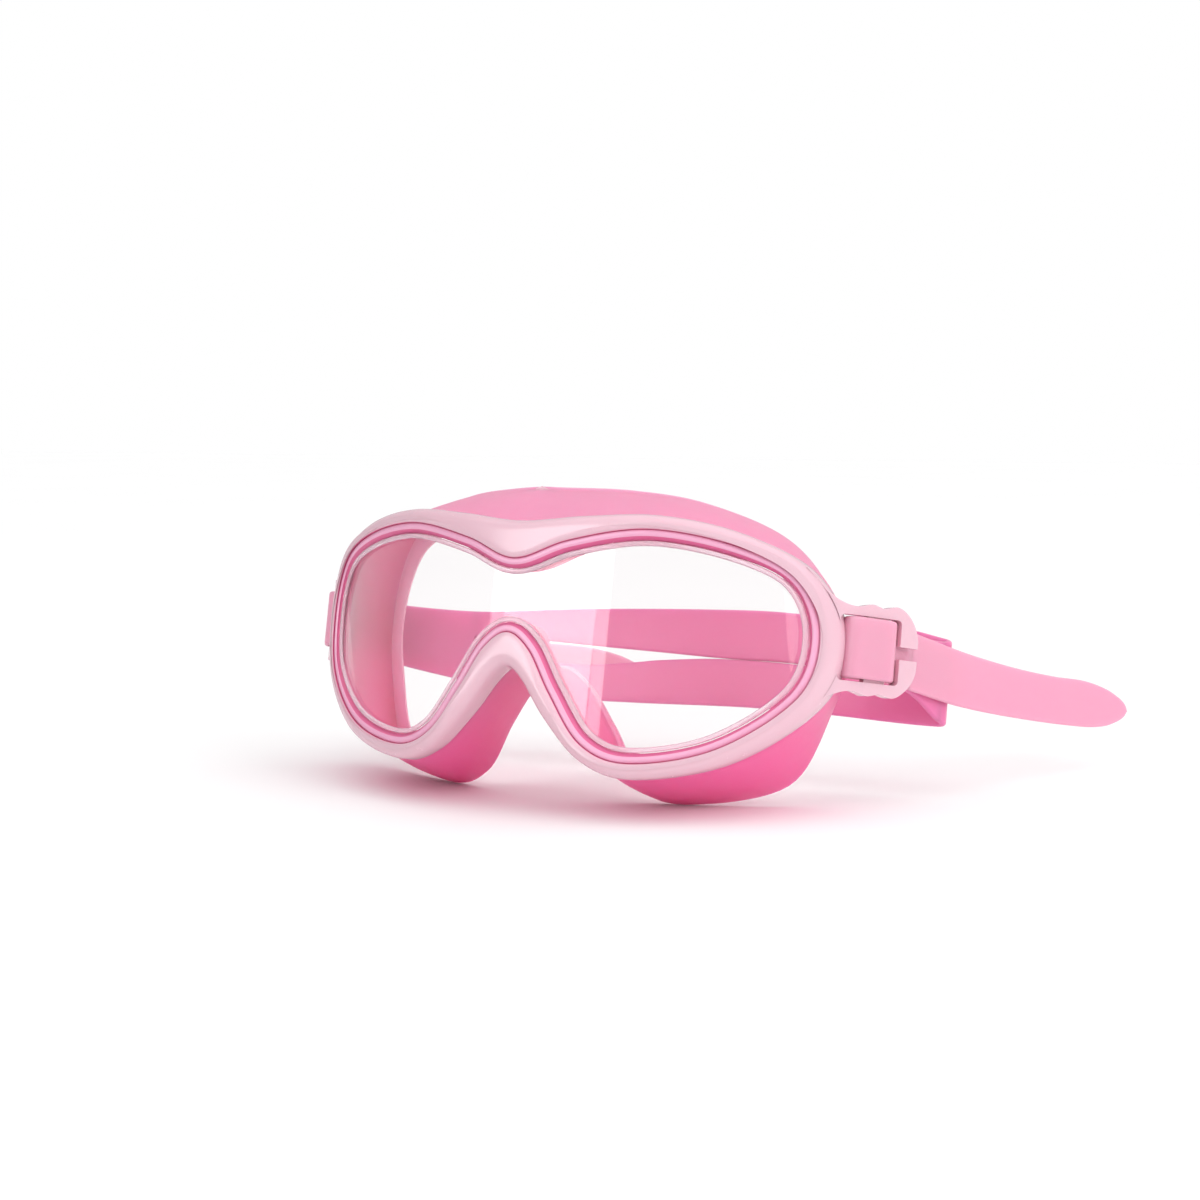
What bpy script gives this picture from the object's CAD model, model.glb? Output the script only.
from math import cos, pi, radians, sin, sqrt

import bpy
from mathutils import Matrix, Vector


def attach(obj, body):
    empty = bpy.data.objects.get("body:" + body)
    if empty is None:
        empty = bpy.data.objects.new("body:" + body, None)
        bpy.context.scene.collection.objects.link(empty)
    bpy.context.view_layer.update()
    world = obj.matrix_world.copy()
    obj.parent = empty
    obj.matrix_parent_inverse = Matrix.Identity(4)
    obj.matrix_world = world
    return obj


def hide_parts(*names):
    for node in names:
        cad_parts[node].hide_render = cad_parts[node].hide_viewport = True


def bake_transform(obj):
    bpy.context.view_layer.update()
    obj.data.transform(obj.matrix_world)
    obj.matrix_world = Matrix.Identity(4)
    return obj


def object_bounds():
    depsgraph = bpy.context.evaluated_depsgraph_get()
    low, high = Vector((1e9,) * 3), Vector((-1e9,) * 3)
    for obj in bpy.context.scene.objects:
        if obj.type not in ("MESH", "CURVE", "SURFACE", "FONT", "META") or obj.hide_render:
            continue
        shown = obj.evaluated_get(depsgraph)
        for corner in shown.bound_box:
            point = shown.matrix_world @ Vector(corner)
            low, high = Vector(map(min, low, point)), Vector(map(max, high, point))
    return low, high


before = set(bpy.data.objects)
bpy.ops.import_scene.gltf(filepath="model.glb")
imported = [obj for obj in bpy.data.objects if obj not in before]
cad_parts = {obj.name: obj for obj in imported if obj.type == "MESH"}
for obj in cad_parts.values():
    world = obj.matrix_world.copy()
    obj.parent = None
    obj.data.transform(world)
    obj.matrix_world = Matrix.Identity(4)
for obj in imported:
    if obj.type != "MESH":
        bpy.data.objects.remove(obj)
cad_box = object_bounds()

# Lengths here are millimetres in the mask's own planes, as in the CAD: x to the wearer's
# left, y back to the face and z up the mask.  place() turns them into the row's metres.
LEAN = radians(11)

# curved layers: the lens, the frame over it and the face behind
LENS_RADIUS = 105.0
FRONT_STAND = 0.8  # the frame's front stands this far before depth 0
RADIUS_GROWTH = 0.19  # growth of the frame's plan radius for each millimetre back
FACE_RADIUS = 116
FACE_DEPTH = 31  # at the mid-plane
FACE_SLOPE = radians(4)

# strap: headings are plan angles from x towards y
STRAP_THICK = 1.8
STRAP_HALF = 7.6
LUG_START = (75.5, 32.0)
LUG_HEADING = radians(55)
TAIL_HEADING = radians(70)
TURN_HEADING = radians(29)
LEFT_RUN, RIGHT_RUN = 20.5, 30.7  # from the end of each wrap to the fold behind it
LEFT_TAIL, RIGHT_TAIL = 98.4, 78.4
HALF_GAP = 0.95  # half of the CAD's gap at a strap hinge
PATH_STEP = 1.5
TIP, TIP_STEP = 6, 0.3  # length of a tail's rounded tip, and its finer step
EDGE_ROUND, EDGE_SHARE = 0.75, 0.45  # a rounded edge's height, and its most as a share of the strap's
ARC_STEPS, FACE_ROWS = 6, 5  # divisions of the section's rounded edges and flat faces


def place(x, y, z):
    """Mask millimetres to row metres."""
    return Vector((x, y * cos(LEAN) + z * sin(LEAN), z * cos(LEAN) - y * sin(LEAN))) / 1000


# ---- camera and light
CAMERA_AT = (0.25241, -0.42938, 0.04964)
CAMERA_AZIMUTH, CAMERA_ELEVATION = 27.8, 5.184
FOCAL_LENGTH = 60.26
SENSOR_WIDTH = 36
LAMP_DISTANCE = 0.8
AMBIENT = 0.6


def look(azimuth, elevation):
    """Direction from the goggles towards a viewer; azimuth 0 is straight in front."""
    a, e = radians(azimuth), radians(elevation)
    return Vector((sin(a) * cos(e), -cos(a) * cos(e), sin(e)))


def make_camera():
    data = bpy.data.cameras.new("camera")
    data.lens = FOCAL_LENGTH
    data.sensor_width = SENSOR_WIDTH
    camera = bpy.data.objects.new("camera", data)
    camera.location = CAMERA_AT
    camera.rotation_mode = "QUATERNION"
    camera.rotation_quaternion = (-look(CAMERA_AZIMUTH, CAMERA_ELEVATION)).to_track_quat("-Z", "Y")
    bpy.context.collection.objects.link(camera)
    bpy.context.scene.camera = camera


def lamp(name, kind, azimuth, elevation, energy, **shape):
    """A light aimed at the row's origin; energy is watts, or W/m2 for a sun."""
    data = bpy.data.lights.new(name, kind)
    data.energy = energy
    for key, value in shape.items():
        setattr(data, key, value)
    made = bpy.data.objects.new(name, data)
    back = look(azimuth, elevation)
    made.location = back * LAMP_DISTANCE
    made.rotation_mode = "QUATERNION"
    made.rotation_quaternion = (-back).to_track_quat("-Z", "Y")
    bpy.context.collection.objects.link(made)
    return made


def make_world(ambient):
    """White studio: ambient as a light, plain white where it is seen or seen through the lens."""
    world = bpy.data.worlds.new("studio")
    bpy.context.scene.world = world
    world.use_nodes = True
    tree = world.node_tree
    background = tree.nodes["Background"]
    background.inputs["Color"].default_value = (1, 1, 1, 1)
    path = tree.nodes.new("ShaderNodeLightPath")
    seen = tree.nodes.new("ShaderNodeMath")
    seen.operation = "MAXIMUM"
    tree.links.new(path.outputs["Is Camera Ray"], seen.inputs[0])
    tree.links.new(path.outputs["Is Transmission Ray"], seen.inputs[1])
    level = tree.nodes.new("ShaderNodeMapRange")
    level.inputs["To Min"].default_value = ambient
    level.inputs["To Max"].default_value = 1.0
    tree.links.new(seen.outputs[0], level.inputs["Value"])
    tree.links.new(level.outputs["Result"], background.inputs["Strength"])


def make_softboxes():
    """Tall softbox that the lens and the glossy plastic reflect, dimmer at its two sides."""
    elevation, height = 14, 0.9
    for name, azimuth, width, power in (
        ("softbox", -18, 0.46, 5.8),
        ("softbox_left", -37, 0.06, 0.45),
        ("softbox_right", 1, 0.06, 0.45),
    ):
        box = lamp(name, "AREA", azimuth, elevation, power, shape="RECTANGLE", size=width, size_y=height)
        box.visible_diffuse = False


make_camera()
bpy.context.scene.view_settings.view_transform = "Standard"
make_world(AMBIENT)
lamp("sky", "SUN", 60, 70, 1.68, angle=radians(100))
lamp("right_side", "AREA", 75, 20, 1.5, shape="DISK", size=0.5).visible_glossy = False
make_softboxes()


# ---- materials
BUMP_DISTANCE = 0.0004
SILICONE_GRAIN = 0.12
LENS_TINT = (0.99, 0.965, 0.97, 1)
LUG_EDGE = 0.0004  # metres


class Nodes:
    """A material's node tree, with short calls for the nodes that it needs."""

    def __init__(self, name):
        self.material = bpy.data.materials.new(name)
        self.material.use_nodes = True
        self.tree = self.material.node_tree
        self.shader = self.tree.nodes["Principled BSDF"]
        self.output = self.tree.nodes["Material Output"]
        self.place = self.tree.nodes.new("ShaderNodeTexCoord").outputs["Object"]

    def add(self, kind, **values):
        node = self.tree.nodes.new(kind)
        for key, value in values.items():
            if key.startswith("in_"):
                node.inputs[key[3:].replace("_", " ")].default_value = value
            else:
                setattr(node, key, value)
        return node

    def link(self, a, b):
        self.tree.links.new(a, b)

    def noise(self, scale, detail=3.0, roughness=0.55):
        node = self.add("ShaderNodeTexNoise", in_Scale=scale, in_Detail=detail, in_Roughness=roughness)
        self.link(self.place, node.inputs["Vector"])
        return node.outputs["Fac"]

    def between(self, factor, low, high):
        """Map a 0 to 1 factor to the span from low to high."""
        node = self.add("ShaderNodeMapRange", in_To_Min=low, in_To_Max=high)
        self.link(factor, node.inputs["Value"])
        return node.outputs["Result"]

    def blend(self, factor, a, b):
        node = self.add("ShaderNodeMix", data_type="RGBA")
        node.inputs["A"].default_value = (*a, 1)
        node.inputs["B"].default_value = (*b, 1)
        self.link(factor, node.inputs["Factor"])
        return node.outputs["Result"]

    def bump(self, heights, distance):
        """Chain bumps; heights is a list of (socket, strength)."""
        normal = None
        for height, strength in heights:
            node = self.add("ShaderNodeBump", in_Strength=strength, in_Distance=distance)
            self.link(height, node.inputs["Height"])
            if normal:
                self.link(normal, node.inputs["Normal"])
            normal = node.outputs["Normal"]
        self.link(normal, self.shader.inputs["Normal"])

    def set(self, **values):
        for key, value in values.items():
            self.shader.inputs[key.replace("_", " ")].default_value = value


def moulded(name, light, dark, roughness, coat, grain):
    """Glossy moulded plastic: faint flow clouding, a slight ripple and fine handling marks."""
    n = Nodes(name)
    n.link(n.blend(n.noise(35), dark, light), n.shader.inputs["Base Color"])
    n.link(n.between(n.noise(420, 4), roughness - 0.05, roughness + 0.07), n.shader.inputs["Roughness"])
    n.bump([(n.noise(60, 1), 0.12), (n.noise(1600, 2), grain)], BUMP_DISTANCE)
    n.set(Coat_Weight=coat, Coat_Roughness=0.06, Subsurface_Weight=0.12, Subsurface_Scale=0.004)
    n.shader.inputs["Subsurface Radius"].default_value = (1.0, 0.45, 0.5)
    return n.material


def silicone(name, light, dark, roughness, depth, deep, run):
    """Soft translucent rubber with a fine matt grain: cloudy colour, deep where run starts.

    depth is the share of light scattered below the surface.  run is (coordinate, axis, start,
    end), and its coordinate is the object's own places or normals.
    """
    n = Nodes(name)
    cloud = n.blend(n.noise(28, 4), dark, light)
    coordinate, axis, start, end = run
    split = n.add("ShaderNodeSeparateXYZ")
    n.link(n.place.node.outputs[coordinate], split.inputs["Vector"])
    rise = n.add("ShaderNodeMapRange", interpolation_type="SMOOTHSTEP",
                 in_From_Min=start, in_From_Max=end)
    n.link(split.outputs[axis], rise.inputs["Value"])
    body = n.blend(rise.outputs["Result"], deep, light)
    n.link(cloud, body.node.inputs["B"])
    n.link(body, n.shader.inputs["Base Color"])
    n.link(n.between(n.noise(300, 5), roughness - 0.07, roughness + 0.09), n.shader.inputs["Roughness"])
    n.bump([(n.noise(90, 2), 0.1), (n.noise(2600, 3), SILICONE_GRAIN)], BUMP_DISTANCE)
    n.set(Subsurface_Weight=depth, Subsurface_Scale=0.009, Specular_IOR_Level=0.45)
    n.shader.inputs["Subsurface Radius"].default_value = (1.0, 0.5, 0.65)
    return n.material


def clear_lens(name):
    """Polished clear lens; lamps reach what is behind it."""
    n = Nodes(name)
    n.link(n.between(n.noise(500, 4), 0.01, 0.03), n.shader.inputs["Roughness"])
    n.bump([(n.noise(18, 1), 0.03)], BUMP_DISTANCE)
    n.set(Transmission_Weight=1.0, IOR=1.55)
    n.shader.inputs["Base Color"].default_value = LENS_TINT
    clear = n.add("ShaderNodeBsdfTransparent")
    clear.inputs["Color"].default_value = LENS_TINT
    mix = n.add("ShaderNodeMixShader")
    n.link(n.add("ShaderNodeLightPath").outputs["Is Shadow Ray"], mix.inputs["Fac"])
    n.link(n.shader.outputs["BSDF"], mix.inputs[1])
    n.link(clear.outputs["BSDF"], mix.inputs[2])
    n.link(mix.outputs["Shader"], n.output.inputs["Surface"])
    return n.material


def rim_glass(name):
    """The lens's raised step: the same clear plastic, whitened by its ground edge."""
    n = Nodes(name)
    n.link(n.blend(n.noise(400, 3), (0.9, 0.7, 0.78), (0.93, 0.78, 0.84)), n.shader.inputs["Base Color"])
    n.link(n.between(n.noise(900, 3), 0.12, 0.3), n.shader.inputs["Roughness"])
    n.set(Transmission_Weight=0.6, IOR=1.3, Specular_IOR_Level=0.5)
    return n.material


FRAME = moulded("frame_plastic", (0.75, 0.48, 0.56), (0.73, 0.46, 0.54), 0.24, 0.25, 0.04)
RING = moulded("ring_plastic", (0.84, 0.4, 0.58), (0.81, 0.37, 0.54), 0.36, 0.1, 0.06)
INNER = moulded("inner_plastic", (0.74, 0.14, 0.31), (0.7, 0.12, 0.28), 0.4, 0.1, 0.1)
SKIRT = silicone("skirt_silicone", (0.8, 0.29, 0.44), (0.78, 0.26, 0.41), 0.42, 0.6,
                 (0.8, 0.11, 0.31), ("Object", "Z", -0.05, 0.025))
SKIRT_LIP = silicone("skirt_lip_silicone", (0.9, 0.46, 0.57), (0.88, 0.43, 0.54), 0.42, 0.6,
                     (0.86, 0.26, 0.43), ("Object", "Z", -0.05, 0.0))
STRAP = silicone("strap_silicone", (0.81, 0.34, 0.46), (0.78, 0.31, 0.43), 0.48, 0.4,
                 (0.8, 0.31, 0.44), ("Object", "Z", -0.03, 0.0))
STRAP_BACK = silicone("strap_back_silicone", (0.81, 0.34, 0.46), (0.78, 0.31, 0.43), 0.48, 0.3,
                      (0.71, 0.16, 0.35), ("Normal", "Y", -0.4, 0.4))
LENS = clear_lens("lens_clear")
RIM_GLASS = rim_glass("lens_step_clear")


def dress(node, material):
    """Give a CAD node that stays in the picture its finished material."""
    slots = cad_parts[node].data.materials
    slots.clear()
    slots.append(material)


def soften_edges(node):
    """Round a CAD node's sharp edges."""
    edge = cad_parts[node].modifiers.new("edge", "BEVEL")
    edge.width = LUG_EDGE
    edge.segments = 3
    edge.limit_method = "ANGLE"
    edge.angle_limit = radians(40)


for node in ("lug_left", "lug_right"):
    dress(node, FRAME)
    soften_edges(node)
dress("retaining_ring", INNER)


# ---- mesh helpers
def piece(name, points, faces, material, slot):
    """A smooth mesh object from points in mask millimetres."""
    mesh = bpy.data.meshes.new(name)
    mesh.from_pydata([place(*p) for p in points], [], faces)
    mesh.materials.append(material)
    mesh.shade_smooth()
    made = bpy.data.objects.new(name, mesh)
    bpy.context.collection.objects.link(made)
    return made


def rounded_path(points, radii, step):
    """Points along a polyline in plan whose corners are rounded, about step apart or less."""
    path = [Vector(points[0])]
    stops = [Vector(p) for p in points]
    for before, corner, after, radius in zip(stops, stops[1:], stops[2:], radii):
        u, v = (before - corner).normalized(), (after - corner).normalized()
        half = u.angle(v) / 2
        reach = radius / (sin(half) / cos(half))
        start, end = corner + u * reach, corner + v * reach
        centre = corner + (u + v).normalized() * (radius / sin(half))
        count = max(3, int(radius * (pi - 2 * half) / min(step, 0.5)))
        first, last = start - centre, end - centre
        turn = first.angle(last)
        for index in range(count + 1):
            share = index / count
            swept = first * sin((1 - share) * turn) + last * sin(share * turn)
            path.append(centre + swept / sin(turn))
    path.append(stops[-1])
    filled = [path[0]]
    for point in path[1:]:
        gap = (point - filled[-1]).length
        if gap < 1e-4:
            continue
        parts = max(1, round(gap / step))
        base = filled[-1].copy()
        filled += [base.lerp(point, part / parts) for part in range(1, parts + 1)]
    return filled


def smooth_value(knots, at):
    """Value at a place on the smooth curve through (place, value) knots, held at both ends."""
    if at <= knots[0][0]:
        return knots[0][1]
    if at >= knots[-1][0]:
        return knots[-1][1]
    index = next(i for i in range(len(knots) - 1) if knots[i + 1][0] >= at)
    slopes = []
    for i in (index, index + 1):
        a, b = knots[max(i - 1, 0)], knots[min(i + 1, len(knots) - 1)]
        slopes.append((b[1] - a[1]) / (b[0] - a[0]))
    (x0, y0), (x1, y1) = knots[index], knots[index + 1]
    width = x1 - x0
    t = (at - x0) / width
    return (
        y0 * (1 + 2 * t) * (1 - t) ** 2 + slopes[0] * width * t * (1 - t) ** 2
        + y1 * t * t * (3 - 2 * t) + slopes[1] * width * t * t * (t - 1)
    )


def strap_section(top, foot, thick, edge):
    """Outline of the strap's section as (across, up) pairs: flat faces and rounded edges."""
    half = thick / 2

    def rounded(side, level):
        angles = [pi * step / ARC_STEPS for step in range(ARC_STEPS + 1)]
        return [(half * cos(a) * side, level - side * edge * (1 - sin(a))) for a in angles]

    def flat(across, start, end):
        return [(across, start + (end - start) * row / FACE_ROWS) for row in range(1, FACE_ROWS)]

    over, under = rounded(1, top), rounded(-1, foot)
    front = flat(-half, over[-1][1], under[0][1])
    back = flat(half, under[-1][1], over[0][1])
    return over + front + under + back


def strap_shell(path, top, foot, first=0.0):
    """Closed shell that follows a plan path, from top and foot knots of (length along, z).

    first is the length along the strap where the path starts.
    """
    points, faces = [], []
    along = first
    for index, spot in enumerate(path):
        if index:
            along += (spot - path[index - 1]).length
        ahead = path[min(index + 1, len(path) - 1)] - path[max(index - 1, 0)]
        side = Vector((ahead.y, -ahead.x)).normalized()
        high, low = smooth_value(top, along), smooth_value(foot, along)
        edge = min(EDGE_ROUND, (high - low) * EDGE_SHARE)
        section = strap_section(high, low, STRAP_THICK, edge)
        for across, up in section:
            points.append((spot.x + side.x * across, spot.y + side.y * across, up))
    count = len(section)
    for ring in range(len(path) - 1):
        for k in range(count):
            a, b = ring * count + k, ring * count + (k + 1) % count
            faces.append((a, b, b + count, a + count))
    last = (len(path) - 1) * count
    faces.append(tuple(reversed(range(count))))
    faces.append(tuple(range(last, last + count)))
    return points, faces


def join_shells(shells):
    points, faces = [], []
    for more_points, more_faces in shells:
        base = len(points)
        points += more_points
        faces += [tuple(index + base for index in face) for face in more_faces]
    return points, faces


def strap_piece(name, shells, material=STRAP):
    made = piece(name, *join_shells(shells), material, "strap")
    made.data.set_sharp_from_angle(angle=radians(50))
    return made


def lug_point(along, depth, side=1):
    """Plan point from a lug's own lengths; side is 1 for the left lug and -1 for the right."""
    x = LUG_START[0] + along * cos(LUG_HEADING) - depth * sin(LUG_HEADING)
    return (side * x, LUG_START[1] + along * sin(LUG_HEADING) + depth * cos(LUG_HEADING))


def step_from(point, heading, distance):
    return (point[0] + distance * cos(heading), point[1] + distance * sin(heading))


# ---- strap: wraps round the lugs' bars, the slit back and the two free tails
left_run_root = step_from(lug_point(24.2, 6.8), TAIL_HEADING, HALF_GAP)
left_tail_root = step_from(lug_point(24.2, 4.5), TAIL_HEADING, HALF_GAP)
right_run_root = step_from(lug_point(19.6, 13.4, -1), TURN_HEADING, HALF_GAP)
right_tail_root = step_from(lug_point(22.0, 13.4, -1), TURN_HEADING, HALF_GAP)

left_wrap = rounded_path(
    [left_run_root, lug_point(18, 5.1), lug_point(4.0, 4.2), lug_point(4.0, -0.5),
     lug_point(15.7, -0.5), lug_point(18.3, 2.9), left_tail_root],
    [8, 2.2, 2.2, 1.5, 1.5], PATH_STEP)
right_wrap = rounded_path(
    [right_run_root, lug_point(19.6, 4.2, -1), lug_point(4.0, 4.2, -1), lug_point(4.0, -0.5, -1),
     lug_point(15.7, -0.5, -1), lug_point(18.3, 2.9, -1), lug_point(22.0, 5.2, -1), right_tail_root],
    [4, 2.2, 2.2, 1.9, 4, 3], PATH_STEP)


def path_length(path):
    return sum((b - a).length for a, b in zip(path, path[1:]))


def wrap_shell(path, root_foot, tail_foot, root_top, tail_top):
    """Shell of a wrap: full width in the lug, meeting the run and the tail at its two ends."""
    whole = path_length(path)
    ease = 6
    top = [(0, root_top), (ease, STRAP_HALF), (whole - ease, STRAP_HALF), (whole, tail_top)]
    foot = [(0, root_foot), (ease, -STRAP_HALF), (whole - ease, -STRAP_HALF), (whole, tail_foot)]
    return strap_shell(path, top, foot)


wrap_left = strap_piece("strap_wrap_left", [wrap_shell(left_wrap, -8.2, -8.5, 6.5, 6.2)])
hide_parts("strap_loop_left")
wrap_right = strap_piece("strap_wrap_right", [wrap_shell(right_wrap, -8.3, -7.5, 7.0, 7.0)])
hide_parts("strap_loop_right")

near_fold = step_from(left_run_root, TAIL_HEADING, LEFT_RUN)
far_fold = step_from(right_run_root, TURN_HEADING, RIGHT_RUN)
back_path = rounded_path([left_run_root, near_fold, far_fold, right_run_root], [2.4, 8], PATH_STEP)


def cut_at(path, place_along):
    """Index and length along a path of the last point that is not past a place."""
    reached = 0.0
    for index, (a, b) in enumerate(zip(path, path[1:])):
        step = (b - a).length
        if reached <= place_along < reached + step:
            return index, reached
        reached += step


# the slit parts the back into two bands; knots are (length along, z)
SLIT_OPENS, SLIT_MARGIN = 16.0, 27.0
open_at, open_along = cut_at(back_path, SLIT_OPENS)
close_at, close_along = cut_at(back_path, path_length(back_path) - SLIT_MARGIN)
BACK_TOP = [
    (0, 6.5), (7, 5.6), (15, 5.4), (21, 6.6), (31, 8.5), (65, 11.2), (88, 11), (126, 9.3),
    (160, 6.8), (175, 6.5), (191, 7),
]
BACK_FOOT = [
    (0, -8.2), (7, -10.8), (15, -15.2), (21, -16.6), (52, -15.6), (75, -15.3), (110, -16.3),
    (130, -16.4), (160, -14), (168, -12.9), (182, -10.7), (191, -8.3),
]
SLIT_TOP = [(16, -5.0), (64, -2.5), (84, -2.3), (102, -1.7), (125, -1), (145, -0.4), (164, -1.2)]
SLIT_FOOT = [
    (16, -5.1), (64, -2.6), (84, -2.5), (102, -3.9), (110, -5), (127, -6.5), (145, -5.2),
    (158, -2.2), (164, -1.3),
]
back = strap_piece("strap_back", [
    strap_shell(back_path[:open_at + 1], BACK_TOP, BACK_FOOT),
    strap_shell(back_path[open_at:close_at + 1], BACK_TOP, SLIT_TOP, open_along),
    strap_shell(back_path[open_at:close_at + 1], SLIT_FOOT, BACK_FOOT, open_along),
    strap_shell(back_path[close_at:], BACK_TOP, BACK_FOOT, close_along),
], STRAP_BACK)
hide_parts("strap_run_left", "strap_run_right", "strap_upper_band", "strap_lower_band")


def tail_path(root, heading, length):
    """Straight path of a tail, in finer steps over its rounded tip."""
    bend, end = step_from(root, heading, length - TIP), step_from(root, heading, length)
    return rounded_path([root, bend], [], PATH_STEP) + rounded_path([bend, end], [], TIP_STEP)[1:]


LEFT_TAIL_TOP = [
    (0, 6.2), (22.7, 3.2), (44.7, 1.4), (62.7, 0.8), (77.7, 0.9), (88, -0.4), (94, -2.1),
    (96.8, -3.4), (98, -4.6), (LEFT_TAIL, -5.7),
]
LEFT_TAIL_FOOT = [
    (0, -8.5), (20.7, -10.9), (48.7, -12), (77.7, -11.9), (88, -11), (94, -9.3), (96.8, -8),
    (98, -6.8), (LEFT_TAIL, -5.9),
]
RIGHT_TAIL_TOP = [
    (0, 7), (12.7, 5), (25.7, 2.1), (43.7, -0.2), (60.7, -0.5), (70, -2.1), (75, -3.9),
    (77.2, -5.2), (78.1, -6.3), (RIGHT_TAIL, -7.2),
]
RIGHT_TAIL_FOOT = [
    (0, -7.5), (12.7, -9.6), (25.7, -12.3), (43.7, -14.2), (60.7, -14.1), (70, -12.7),
    (75, -10.9), (77.2, -9.5), (78.1, -8.4), (RIGHT_TAIL, -7.4),
]
left_tail = tail_path(left_tail_root, TAIL_HEADING, LEFT_TAIL)
tail_left = strap_piece("strap_end_left", [strap_shell(left_tail, LEFT_TAIL_TOP, LEFT_TAIL_FOOT)])
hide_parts("strap_tail_left")
right_tail = tail_path(right_tail_root, TURN_HEADING, RIGHT_TAIL)
tail_right = strap_piece("strap_end_right", [strap_shell(right_tail, RIGHT_TAIL_TOP, RIGHT_TAIL_FOOT)])
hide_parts("strap_tail_right")

# ---- outlines of the mask: half lines from the top of the mid-plane to its foot
LENS_LINE = [
    (0, 15.2), (14.5, 20.2), (34, 24.1), (54, 21.7), (67, 15.3), (72, 2), (68.5, -14),
    (53, -28), (34, -33.4), (22, -29.8), (13, -18), (6.5, -7.6), (0, -3.4),
]
FRAME_LINE = [
    (0, 25), (18, 26.8), (36, 28), (54, 25.2), (69, 17.4), (76, 2), (71.8, -15.5),
    (55, -31), (34, -37.2), (21.5, -34), (11.5, -24.4), (4.5, -15.2), (0, -12),
]
FACE_LINE = [
    (0, 37.5), (18, 37.2), (36, 35), (55, 28), (65, 16), (69.5, 0), (67.5, -15),
    (59, -35.5), (35, -42.6), (22, -38.5), (14.5, -25.5), (7.5, -15.5), (0, -11.5),
]
# the lip's width at each point of FACE_LINE
LIP_WIDTHS = (8, 8, 8, 8, 8, 8, 8, 8, 6.5, 3.2, 2.2, 2, 2)
PER_SPAN = 10  # mesh points for each span of an outline


def loop(half):
    """Closed smooth loop of (x, z) points from a half line and its mirror image."""
    knots = half + [(-x, z) for x, z in reversed(half[1:-1])]
    count = len(knots)
    points = []
    for index in range(count):
        a, b, c, d = (Vector(knots[(index + k) % count]) for k in (-1, 0, 1, 2))
        for step in range(PER_SPAN):
            t = step / PER_SPAN
            points.append(0.5 * (
                2 * b + (c - a) * t
                + (2 * a - 5 * b + 4 * c - d) * t * t + (3 * b - a - 3 * c + d) * t ** 3
            ))
    return points


def moved_out(points, amount):
    """Each point of a loop moved away from its inside along its own normal."""
    count = len(points)
    moved = []
    for index, point in enumerate(points):
        along = points[(index + 1) % count] - points[index - 1]
        moved.append(point + Vector((-along.y, along.x)).normalized() * amount)
    return moved


def mixed(a, b, share):
    return [p.lerp(q, share) for p, q in zip(a, b)]


def front_surface(x, depth):
    """Depth of the frame's curved layers: their plan radius grows from front to back."""
    radius = LENS_RADIUS + FRONT_STAND + (depth + FRONT_STAND) * RADIUS_GROWTH
    return depth + radius - sqrt(radius ** 2 - x ** 2)


def lens_surface(x, depth):
    """Depth of the lens's layers, which share one plan centre."""
    radius = LENS_RADIUS - depth
    return depth + radius - sqrt(radius ** 2 - x ** 2)


def face_surface(x, z):
    """Depth of the face that the skirt meets."""
    return FACE_DEPTH + FACE_RADIUS - sqrt(FACE_RADIUS ** 2 - x ** 2) - z * sin(FACE_SLOPE)


def ring_of_rows(name, rows, material, slot, sharp=35, second=None, second_rows=()):
    """Closed ring through rows of (x, y, z) loops, the last row joined to the first.

    The faces after each of second_rows take the second material.
    """
    count = len(rows[0])
    points = [point for row in rows for point in row]
    faces = []
    for r in range(len(rows)):
        after = (r + 1) % len(rows)
        for k in range(count):
            ahead = (k + 1) % count
            faces.append((r * count + k, after * count + k, after * count + ahead, r * count + ahead))
    made = piece(name, points, faces, material, slot)
    if second:
        made.data.materials.append(second)
    for r in second_rows:
        for k in range(count):
            made.data.polygons[r * count + k].material_index = 1
    made.data.set_sharp_from_angle(angle=radians(sharp))
    return made


lens_loop, frame_loop, face_loop = loop(LENS_LINE), loop(FRAME_LINE), loop(FACE_LINE)


def layered(points, depth, surface):
    """A row of a ring: a loop laid on a curved surface at a depth."""
    return [(p.x, surface(p.x, depth), p.y) for p in points]


# ---- front frame: rounded moulding with the step behind that holds ring, lens and skirt
FRAME_INNER_ROWS = (1, 2, 3)
frame_rows = [layered(moved_out(lens_loop, out), depth, front_surface) for out, depth in (
    (1.5, 7.9), (1.5, 4.2), (0.0, 4.1), (0.0, 0.6), (0.08, 0.15), (0.35, -0.35), (0.8, -0.6),
    (1.5, -0.74),
)]
flat_front = moved_out(lens_loop, 1.5), moved_out(frame_loop, -3.2)
frame_rows += [layered(mixed(*flat_front, share), depth, front_surface)
               for share, depth in ((0.35, -0.79), (0.7, -0.8))]
frame_rows += [layered(moved_out(frame_loop, -inward), depth, front_surface) for inward, depth in (
    (3.2, -0.76), (2.2, -0.55), (1.3, -0.1), (0.6, 0.7), (0.2, 1.7), (0.02, 3.0), (0.0, 4.6),
    (0.0, 6.6), (0.25, 7.4), (0.8, 7.9),
)]
front = ring_of_rows("front_moulding", frame_rows, FRAME, "frame", 35, INNER, FRAME_INNER_ROWS)
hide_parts("front_frame")

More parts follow.
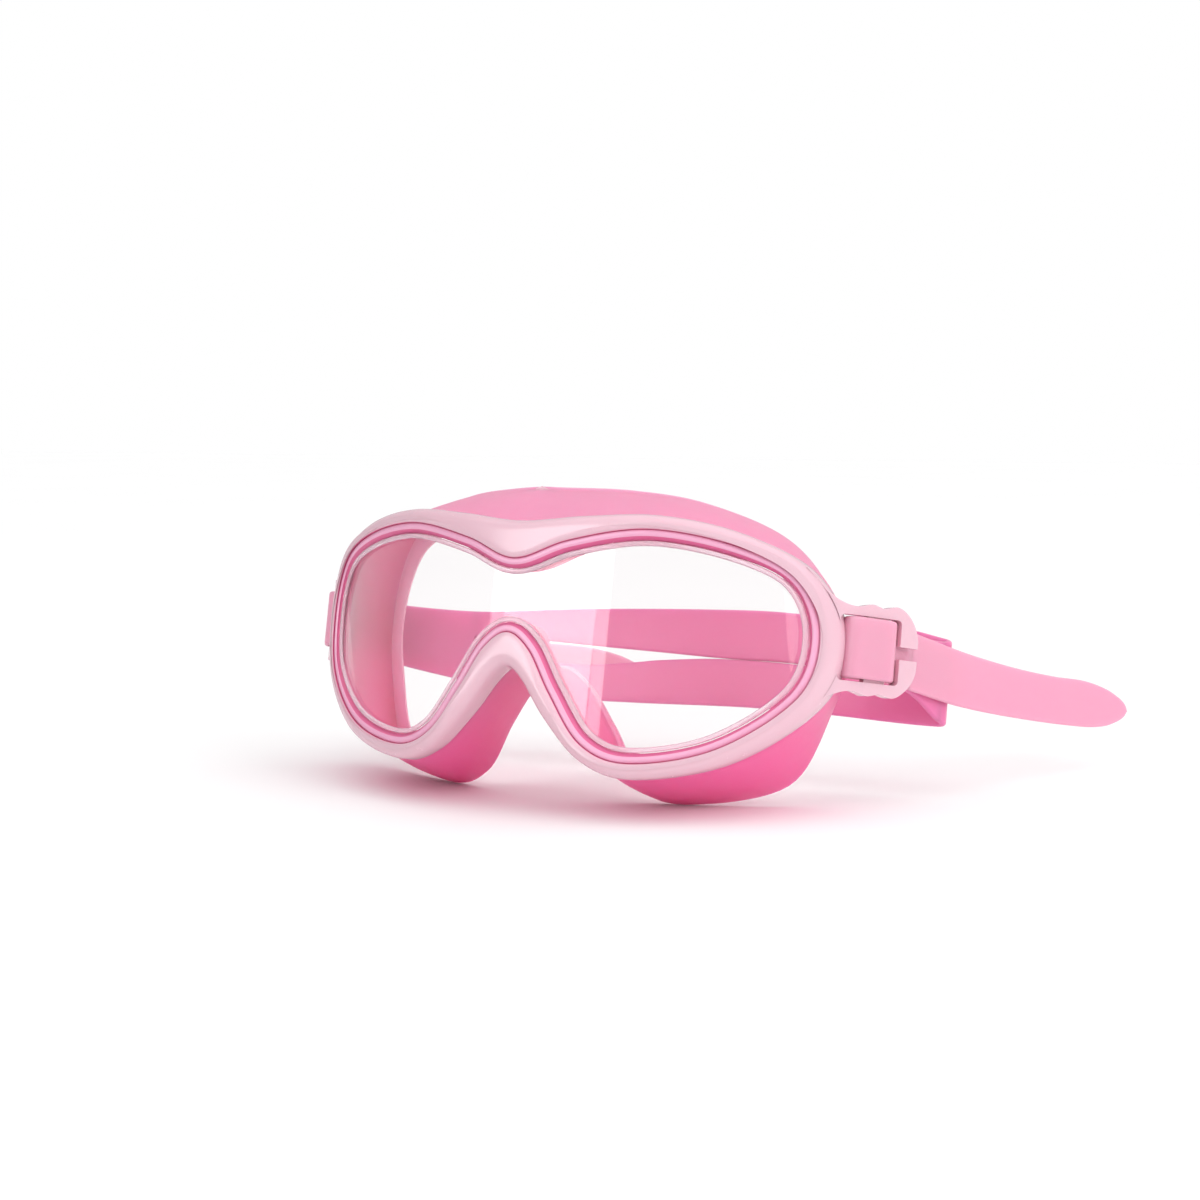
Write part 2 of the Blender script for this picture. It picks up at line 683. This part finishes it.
# ---- lens ring: bright rounded bead between frame and lens, with a lip over the lens
RING_INNER_ROWS = (0, 1, *range(6, 14))
ring_rows = [layered(moved_out(lens_loop, -inward), depth, lens_surface) for inward, depth in (
    (0.02, 3.8), (0.02, 0.75), (0.14, 0.42), (0.45, 0.18), (0.9, 0.05), (1.35, 0.15), (1.7, 0.45),
    (1.95, 0.95), (2.35, 1.35), (2.55, 1.62), (1.4, 1.62), (1.4, 3.4), (2.3, 3.4), (2.3, 3.8),
)]
ring = ring_of_rows("lens_ring", ring_rows, RING, "ring", 35, INNER, RING_INNER_ROWS)
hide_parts("lens_gasket")


# ---- lens: two smooth faces and a rim, and the raised step just inside the ring
PANE_COLUMNS, PANE_ROWS = 120, 24


def span_at(points, x):
    """Lowest and highest z of a loop at an x."""
    levels = []
    for a, b in zip(points, points[1:] + points[:1]):
        if (a.x - x) * (b.x - x) <= 0 and a.x != b.x:
            levels.append(a.y + (b.y - a.y) * (x - a.x) / (b.x - a.x))
    return min(levels), max(levels)


def pane(name, inset_by, front_depth, back_depth):
    """Curved pane cut to the lens's outline, moved in by inset_by."""
    columns, rows = PANE_COLUMNS, PANE_ROWS
    edge = moved_out(lens_loop, -inset_by)
    reach = max(p.x for p in edge) - 0.01
    points, faces = [], []
    for depth in (front_depth, back_depth):
        for column in range(columns + 1):
            x = -reach * cos(pi * column / columns)
            low, high = span_at(edge, x)
            for row in range(rows + 1):
                points.append((x, lens_surface(x, depth), low + (high - low) * row / rows))
    size = (columns + 1) * (rows + 1)

    def at(layer, column, row):
        return layer * size + column * (rows + 1) + row

    for column in range(columns):
        for row in range(rows):
            quad = [at(0, column, row), at(0, column + 1, row),
                    at(0, column + 1, row + 1), at(0, column, row + 1)]
            faces.append(tuple(quad))
            faces.append(tuple(size + index for index in reversed(quad)))
        for row, turn in ((0, 1), (rows, -1)):
            side = [at(0, column, row), at(1, column, row),
                    at(1, column + 1, row), at(0, column + 1, row)]
            faces.append(tuple(side[::turn]))
    for column, turn in ((0, -1), (columns, 1)):
        for row in range(rows):
            side = [at(0, column, row), at(1, column, row),
                    at(1, column, row + 1), at(0, column, row + 1)]
            faces.append(tuple(side[::turn]))
    made = piece(name, points, faces, LENS, "lens")
    made.data.set_sharp_from_angle(angle=radians(40))
    return made


lens_pane = pane("lens_pane", 1.45, 1.7, 3.3)
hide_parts("lens")
step_rows = [layered(moved_out(lens_loop, -inward), depth, lens_surface) for inward, depth in (
    (2.75, 1.66), (2.75, 1.2), (2.95, 0.9), (3.3, 0.85), (3.7, 1.0), (3.95, 1.35), (4.0, 1.66),
)]
lens_step = ring_of_rows("lens_step", step_rows, RIM_GLASS, "lens")


# ---- face seal: soft skirt that flares to the face and turns in to a thin lip
WALL = 1.8
BULGE = 0.7  # outward swell of the skirt's wall at half way back
COLLAR_FRONT, COLLAR_BACK = 8.15, 9.9
LIP_ROWS = range(10, 19)  # the lip's own faces: its rear, its tip and its front
seal_start = moved_out(frame_loop, -0.6)
start_depth = [front_surface(p.x, COLLAR_FRONT) for p in seal_start]
rear_depth = [face_surface(p.x, p.y) for p in face_loop]


def wall_row(share, inward):
    """A row of the skirt's wall, share of the way back, set in from its outer face."""
    line = mixed(seal_start, face_loop, share)
    line = moved_out(line, BULGE * sin(pi * share) - inward)
    return [(p.x, a + (b - a) * share, p.y) for p, a, b in zip(line, start_depth, rear_depth)]


# A known fault: loop() mirrors the widths as negative ones, so in the first span to the
# wearer's right of the mid-plane, at the brow and at the nose, the lip narrows to nothing.
lip_width = [abs(p.x) for p in loop([(width, 0) for width in LIP_WIDTHS])]
lip_edge = [moved_out(face_loop, -width)[k] for k, width in enumerate(lip_width)]


def lip_row(share, forward):
    """A row of the lip, a share of its width in from the skirt's rear edge."""
    line = mixed(face_loop, lip_edge, share)
    return [(p.x, face_surface(p.x, p.y) - forward, p.y) for p in line]


collar_loop = moved_out(lens_loop, 0.1)
skirt_rows = [layered(collar_loop, COLLAR_FRONT, front_surface)]
skirt_rows += [wall_row(share, 0.0) for share in (0.0, 0.12, 0.3, 0.5, 0.7, 0.85, 0.93)]
skirt_rows += [lip_row(share, forward) for share, forward in (
    (0.02, 0.9), (0.09, 0.25), (0.2, 0.0), (0.44, 0.0), (0.72, 0.1), (0.91, 0.4), (1.0, 0.9),
    (0.98, 1.4), (0.83, 1.3), (0.56, 1.4), (0.35, 1.9),
)]
skirt_rows += [wall_row(share, WALL) for share in (0.9, 0.8, 0.6, 0.4, 0.2, 0.08)]
skirt_rows += [layered(collar_loop, COLLAR_BACK, front_surface)]
skirt = ring_of_rows("face_skirt", skirt_rows, SKIRT, "skirt", 60, SKIRT_LIP, LIP_ROWS)
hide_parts("face_seal")


# ---- floor
def make_floor(half_side):
    """White paper under the goggles, at the CAD's lowest point; half_side is in metres."""
    corners = [(x * half_side, y * half_side, cad_box[0][2])
               for x, y in ((-1, -1), (1, -1), (1, 1), (-1, 1))]
    mesh = bpy.data.meshes.new("floor")
    mesh.from_pydata(corners, [], [(0, 1, 2, 3)])
    n = Nodes("floor_paper")
    paper = n.blend(n.noise(6), (0.93, 0.93, 0.93), (0.96, 0.96, 0.96))
    n.link(paper, n.shader.inputs["Base Color"])
    n.set(Roughness=0.7)
    mesh.materials.append(n.material)
    made = bpy.data.objects.new("floor", mesh)
    bpy.context.collection.objects.link(made)
    return made


floor = make_floor(4.0)

# ---- what moves with what: the strap bends between two depths behind the lugs
for wrap in (wrap_left, wrap_right):
    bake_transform(wrap)
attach(back, "strap")
for made in (front, ring, lens_pane, lens_step, skirt):
    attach(made, "mask")
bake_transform(tail_left)
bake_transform(tail_right)
